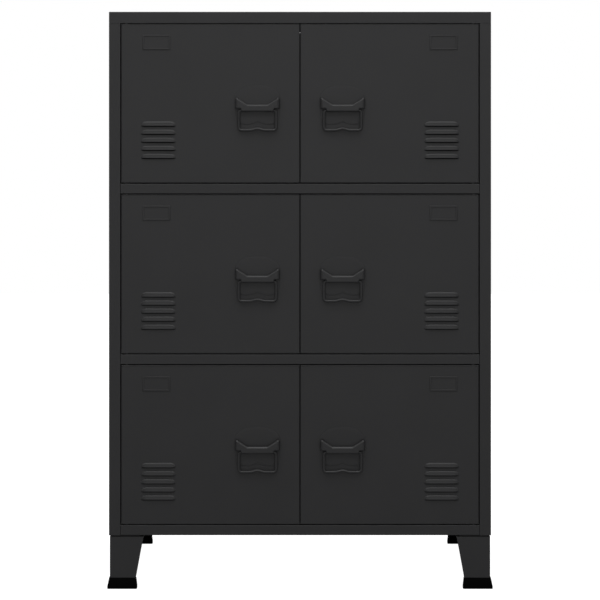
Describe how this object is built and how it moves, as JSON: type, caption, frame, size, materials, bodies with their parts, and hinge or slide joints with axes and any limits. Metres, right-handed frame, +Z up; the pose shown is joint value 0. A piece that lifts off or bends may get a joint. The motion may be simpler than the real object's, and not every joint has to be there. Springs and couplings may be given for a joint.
{
  "type": "locker cabinet",
  "caption": "Tall sheet-steel storage cabinet with rows of paired hinged doors, louvres, card holders and drop-bail handles, on tapered angle legs.",
  "frame": {"origin": "on the floor, at the centre of the overall box in plan", "axes": "+Z up, -Y out of the doors' fronts, +X to the right of someone facing the doors"},
  "size_m": [0.7664, 0.4152, 1.147],
  "materials": {
    "black_powder_coat": "fine satin black powder coat",
    "black_plastic": "moulded black plastic",
    "zinc_plated_steel": "zinc plated",
    "nylon": "natural nylon",
    "ferrite": "sintered ferrite"
  },
  "bodies": {
    "cabinet": {"left_side_panel": "black_powder_coat", "right_side_panel": "black_powder_coat", "top_panel": "black_powder_coat", "bottom_panel": "black_powder_coat", "lower_shelf": "black_powder_coat", "upper_shelf": "black_powder_coat", "back_panel": "black_powder_coat", "front_left_leg": "black_powder_coat", "front_right_leg": "black_powder_coat", "rear_left_leg": "black_powder_coat", "rear_right_leg": "black_powder_coat", "front_left_foot_cap": "black_plastic", "front_right_foot_cap": "black_plastic", "rear_left_foot_cap": "black_plastic", "rear_right_foot_cap": "black_plastic", "leg_mounting_plates": "black_powder_coat", "leg_bolts": "zinc_plated_steel", "magnetic_catches": "black_plastic", "catch_magnets": "ferrite", "catch_screws": "zinc_plated_steel", "side_plug": "black_plastic", "hinge_pins": "zinc_plated_steel", "hinge_washers": "nylon", "panel_screws": "zinc_plated_steel"},
    "lower_left_door": {"lower_left_door_panel": "black_powder_coat", "lower_left_card_holder": "black_powder_coat", "lower_left_handle_plate": "black_powder_coat", "lower_left_handle_bow": "black_powder_coat", "lower_left_handle_screws": "zinc_plated_steel"},
    "lower_left_bail": {"lower_left_bail": "black_powder_coat"},
    "lower_right_door": {"lower_right_door_panel": "black_powder_coat", "lower_right_card_holder": "black_powder_coat", "lower_right_handle_plate": "black_powder_coat", "lower_right_handle_bow": "black_powder_coat", "lower_right_handle_screws": "zinc_plated_steel"},
    "lower_right_bail": {"lower_right_bail": "black_powder_coat"},
    "middle_left_door": {"middle_left_door_panel": "black_powder_coat", "middle_left_card_holder": "black_powder_coat", "middle_left_handle_plate": "black_powder_coat", "middle_left_handle_bow": "black_powder_coat", "middle_left_handle_screws": "zinc_plated_steel"},
    "middle_left_bail": {"middle_left_bail": "black_powder_coat"},
    "middle_right_door": {"middle_right_door_panel": "black_powder_coat", "middle_right_card_holder": "black_powder_coat", "middle_right_handle_plate": "black_powder_coat", "middle_right_handle_bow": "black_powder_coat", "middle_right_handle_screws": "zinc_plated_steel"},
    "middle_right_bail": {"middle_right_bail": "black_powder_coat"},
    "upper_left_door": {"upper_left_door_panel": "black_powder_coat", "upper_left_card_holder": "black_powder_coat", "upper_left_handle_plate": "black_powder_coat", "upper_left_handle_bow": "black_powder_coat", "upper_left_handle_screws": "zinc_plated_steel"},
    "upper_left_bail": {"upper_left_bail": "black_powder_coat"},
    "upper_right_door": {"upper_right_door_panel": "black_powder_coat", "upper_right_card_holder": "black_powder_coat", "upper_right_handle_plate": "black_powder_coat", "upper_right_handle_bow": "black_powder_coat", "upper_right_handle_screws": "zinc_plated_steel"},
    "upper_right_bail": {"upper_right_bail": "black_powder_coat"}
  },
  "joints": [
    {"name": "lower_left_door_hinge", "type": "hinge", "parent": "cabinet", "child": "lower_left_door", "pos_m": [-0.345, -0.18962, 0.286], "axis": [0, 0, -1], "range_deg": [0, 110]},
    {"name": "lower_left_bail_pivot", "type": "hinge", "parent": "lower_left_door", "child": "lower_left_bail", "pos_m": [-0.0845, -0.20143, 0.2724], "axis": [-1, 0, 0], "range_deg": [0, 90]},
    {"name": "lower_right_door_hinge", "type": "hinge", "parent": "cabinet", "child": "lower_right_door", "pos_m": [0.345, -0.18962, 0.286], "axis": [0, 0, 1], "range_deg": [0, 110]},
    {"name": "lower_right_bail_pivot", "type": "hinge", "parent": "lower_right_door", "child": "lower_right_bail", "pos_m": [0.0845, -0.20143, 0.2724], "axis": [-1, 0, 0], "range_deg": [0, 90]},
    {"name": "middle_left_door_hinge", "type": "hinge", "parent": "cabinet", "child": "middle_left_door", "pos_m": [-0.345, -0.18962, 0.6254], "axis": [0, 0, -1], "range_deg": [0, 110]},
    {"name": "middle_left_bail_pivot", "type": "hinge", "parent": "middle_left_door", "child": "middle_left_bail", "pos_m": [-0.0845, -0.20143, 0.6118], "axis": [-1, 0, 0], "range_deg": [0, 90]},
    {"name": "middle_right_door_hinge", "type": "hinge", "parent": "cabinet", "child": "middle_right_door", "pos_m": [0.345, -0.18962, 0.6254], "axis": [0, 0, 1], "range_deg": [0, 110]},
    {"name": "middle_right_bail_pivot", "type": "hinge", "parent": "middle_right_door", "child": "middle_right_bail", "pos_m": [0.0845, -0.20143, 0.6118], "axis": [-1, 0, 0], "range_deg": [0, 90]},
    {"name": "upper_left_door_hinge", "type": "hinge", "parent": "cabinet", "child": "upper_left_door", "pos_m": [-0.345, -0.18962, 0.9648], "axis": [0, 0, -1], "range_deg": [0, 110]},
    {"name": "upper_left_bail_pivot", "type": "hinge", "parent": "upper_left_door", "child": "upper_left_bail", "pos_m": [-0.0845, -0.20143, 0.9512], "axis": [-1, 0, 0], "range_deg": [0, 90]},
    {"name": "upper_right_door_hinge", "type": "hinge", "parent": "cabinet", "child": "upper_right_door", "pos_m": [0.345, -0.18962, 0.9648], "axis": [0, 0, 1], "range_deg": [0, 110]},
    {"name": "upper_right_bail_pivot", "type": "hinge", "parent": "upper_right_door", "child": "upper_right_bail", "pos_m": [0.0845, -0.20143, 0.9512], "axis": [-1, 0, 0], "range_deg": [0, 90]}
  ]
}
